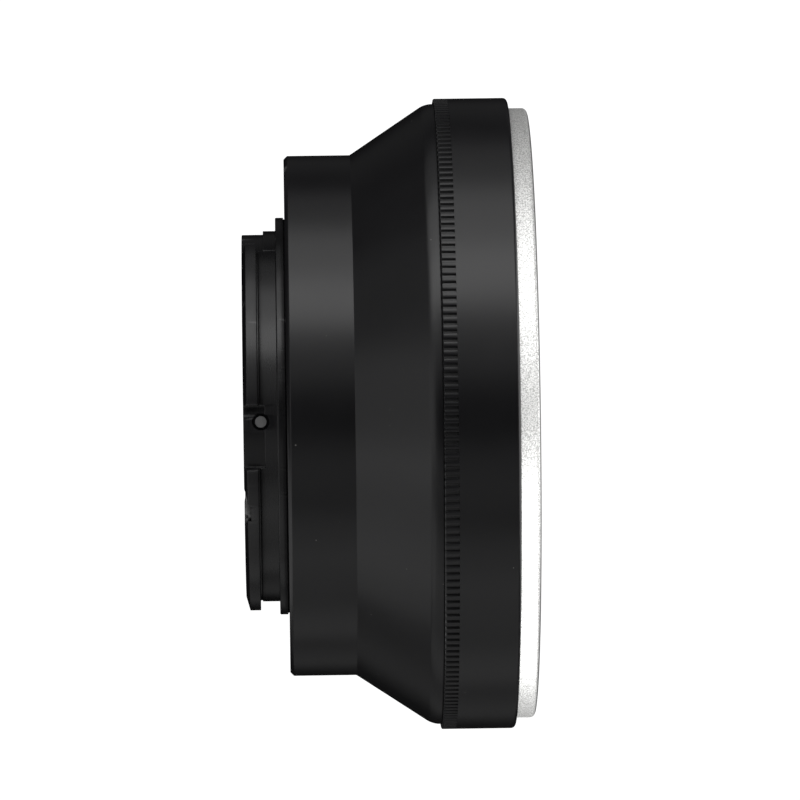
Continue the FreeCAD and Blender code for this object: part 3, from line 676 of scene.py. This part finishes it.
def satin_chrome(name):
    finish, tree, shader, place = start_finish(name)
    radius, height, turned = round_the_axis(tree, place)
    speckle = grain(tree, place, 0.16, 3)
    fine = grain(tree, place, 0.05)
    lines = grain(tree, turned, 0.2, 2)
    clouds = grain(tree, place, 5)
    specks = dust(tree, place, 2.6, 0.3, 0.12)
    plated = blend(tree, clouds, (0.9, 0.9, 0.89, 1), (0.97, 0.97, 0.955, 1))
    pitted = calculate(tree, "MULTIPLY_ADD", speckle, 5, -2.1)
    grainy = blend(tree, pitted, plated, (0.48, 0.48, 0.47, 1))
    # Painted shade: the outer band of the front face's rounded edge is darkened to grey in the base colour.
    front = tree.nodes.new("ShaderNodeMapRange")
    tree.links.new(height, front.inputs["Value"])
    front.inputs["From Min"].default_value = RIM_FADE_START
    front.inputs["From Max"].default_value = RIM_FADE_END
    outer = calculate(tree, "GREATER_THAN", radius, RIM_R)
    painted_shade_rim = calculate(tree, "MULTIPLY", front.outputs["Result"], outer)
    grainy = blend(tree, painted_shade_rim, grainy, (0.2, 0.2, 0.2, 1))
    tree.links.new(blend(tree, specks, grainy, (0.22, 0.21, 0.2, 1)), shader.inputs["Base Color"])
    shader.inputs["Metallic"].default_value = CHROME_METAL
    rough = calculate(tree, "MULTIPLY_ADD", speckle, 0.2, CHROME_ROUGH - 0.12)
    rough = calculate(tree, "MULTIPLY_ADD", clouds, 0.06, rough)
    tree.links.new(rough, shader.inputs["Roughness"])
    raise_surface(tree, shader, [(speckle, 0.02), (fine, 0.0012), (lines, 0.0008)])
    return finish


chromed = satin_chrome("satin_chrome_finish")

# %% [markdown]
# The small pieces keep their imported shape. The seat ring is bare turned metal, the screws and pins
# are steel with fine turned lines, the spring is bright rolled strip, and the two marks are paint.

# %% Steel, spring and paint
def bare_metal(name, light_color, dark_color, roughness, line_mm, line_height):
    finish, tree, shader, place = start_finish(name)
    radius, height, turned = round_the_axis(tree, place)
    lines = grain(tree, turned, line_mm, 4)
    fine = grain(tree, place, 0.06)
    stains = grain(tree, place, 1.8, 3)
    # Convex edges are lightened: partly wear, partly a painted highlight.
    edges = calculate(tree, "MULTIPLY", edge_wear_and_highlight(tree), 0.5)
    toned = blend(tree, stains, (*light_color, 1), (*dark_color, 1))
    tree.links.new(blend(tree, edges, toned, (0.75, 0.75, 0.74, 1)), shader.inputs["Base Color"])
    shader.inputs["Metallic"].default_value = 1
    rough = calculate(tree, "MULTIPLY_ADD", lines, 0.2, roughness - 0.14)
    rough = calculate(tree, "MULTIPLY_ADD", stains, 0.1, rough)
    tree.links.new(rough, shader.inputs["Roughness"])
    raise_surface(tree, shader, [(lines, line_height), (fine, 0.0008)])
    return finish


def filled_paint(name, color, shade):
    finish, tree, shader, place = start_finish(name)
    flow = grain(tree, place, 0.4, 3)
    pores = grain(tree, place, 0.07)
    tree.links.new(blend(tree, flow, (*color, 1), (*shade, 1)), shader.inputs["Base Color"])
    rough = calculate(tree, "MULTIPLY_ADD", pores, 0.2, 0.3)
    tree.links.new(rough, shader.inputs["Roughness"])
    raise_surface(tree, shader, [(flow, 0.02), (pores, 0.002)])
    return finish


seat_metal = bare_metal("seat_metal_finish", (0.66, 0.65, 0.62), (0.56, 0.55, 0.53), 0.3, 0.07, 0.0015)
screw_steel = bare_metal("screw_steel_finish", (0.4, 0.4, 0.41), (0.28, 0.28, 0.3), 0.38, 0.1, 0.0012)
black_screw = bare_metal("black_screw_finish", (0.05, 0.05, 0.052), (0.03, 0.03, 0.032), 0.42, 0.1, 0.0012)
pin_steel = bare_metal("pin_steel_finish", (0.24, 0.24, 0.25), (0.17, 0.17, 0.18), 0.4, 0.05, 0.0008)
spring_steel = bare_metal("spring_steel_finish", (0.46, 0.45, 0.43), (0.34, 0.34, 0.34), 0.28, 0.2, 0.001)
white = filled_paint("white_paint_finish", (0.8, 0.8, 0.77), (0.7, 0.7, 0.67))
red = filled_paint("red_paint_finish", (0.62, 0.02, 0.018), (0.45, 0.012, 0.012))


def finish_piece(piece, finish):
    piece.data.materials.clear()
    piece.data.materials.append(finish)


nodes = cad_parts
for piece, finish in ((body, black), (lock_ring, ring_black), (bayonet, bayonet_black), (chrome, chromed)):
    finish_piece(piece, finish)
for name, finish in (
        ("seat_ring", seat_metal), ("bayonet_screws", black_screw), ("seat_screws", screw_steel),
        ("wing_ring_screws", screw_steel), ("lug_stop_pin", pin_steel), ("travel_stop_pin", pin_steel),
        ("friction_spring", spring_steel), ("camera_index_dot", white), ("ring_index_dot", red)):
    finish_piece(nodes[name], finish)
    print(name, "has", finish.name)

# %% [markdown]
# The studio has soft panels in a ring about the adapter, all looking at its middle, in black air
# that only the camera sees as white. Black metal is drawn by reflections alone, so the angle and
# power of each panel were found from where the photograph is bright and dark: a strong key beside
# the camera, cards above for the cone, and weak fills opposite. The chrome has three lights of
# its own, linked to it alone, so that the black metal keeps its depth.

# %% Studio
AIM = Vector((0, 0, 18))
PANEL_DISTANCE = 700


def soft_light(name, place, target, size, power):
    """A soft panel that looks at a target; place, target and size are in millimetres."""
    lamp = bpy.data.lights.new(name, "AREA")
    lamp.shape = "RECTANGLE"
    lamp.size = size[0] * MM
    lamp.size_y = size[1] * MM
    lamp.energy = power
    holder = bpy.data.objects.new(name, lamp)
    bpy.context.scene.collection.objects.link(holder)
    holder.location = Vector(place) * MM
    direction = (Vector(target) - Vector(place)).normalized()
    holder.rotation_mode = "QUATERNION"
    holder.rotation_quaternion = direction.to_track_quat("-Z", "Y")
    holder.visible_camera = False
    return holder


chrome_only = bpy.data.collections.new("chrome_only")
chrome_only.objects.link(chrome)


# Name, angle round the adapter from the camera towards +X, height angle, size in mm, power in W
LIGHTS = (
    ("key_panel", 50, 0, (300, 1000), 2.1),
    ("key_edge_panel", 75, 0, (300, 1000), 1.15),
    ("key_far_panel", 100, 0, (300, 1000), 0.25),
    ("key_fade_panel", 25, 0, (300, 1000), 0.32),
    ("cone_light", 0, 50, (500, 500), 0.5),
    ("far_cone_light", -60, 50, (500, 500), 0.42),
    ("edge_cone_light", -120, 62, (500, 500), 0.5),
    ("key_cone_light", 60, 50, (500, 500), 0.16),
    ("fill_front", -24, 0, (300, 1000), 0.26),
    ("fill_near", -54, 0, (300, 1000), 0.38),
    ("fill_middle", -75, 0, (300, 1000), 0.36),
    ("fill_edge", -102, 0, (300, 1000), 0.36),
    ("fill_back_panel", -132, 0, (300, 1000), 0.13),
    ("key_back_panel", 142, 0, (300, 1000), 0.04),
    ("chrome_high", 30, -8, (500, 500), 1.2),
    ("chrome_low", -40, -8, (500, 500), 3.4),
    ("chrome_edge", -95, -8, (500, 500), 2.6),
    ("table_light", 0, -88, (800, 800), 4))
for name, round_angle, height_angle, size, power in LIGHTS:
    around, upward = math.radians(round_angle), math.radians(height_angle)
    level = Vector((math.sin(around), -math.cos(around), 0))
    towards = level * math.cos(upward) + Vector((0, 0, math.sin(upward)))
    panel = soft_light(name, AIM + towards * PANEL_DISTANCE, AIM, size, power)
    if name.startswith("chrome"):
        panel.light_linking.receiver_collection = chrome_only
world = bpy.data.worlds.new("studio_air")
bpy.context.scene.world = world
world.use_nodes = True
air = world.node_tree
rays = air.nodes.new("ShaderNodeLightPath")
air.links.new(rays.outputs["Is Camera Ray"], air.nodes["Background"].inputs["Strength"])
air.nodes["Background"].inputs["Color"].default_value = (1.1, 1.1, 1.1, 1)
bpy.context.scene.view_settings.view_transform = "Standard"
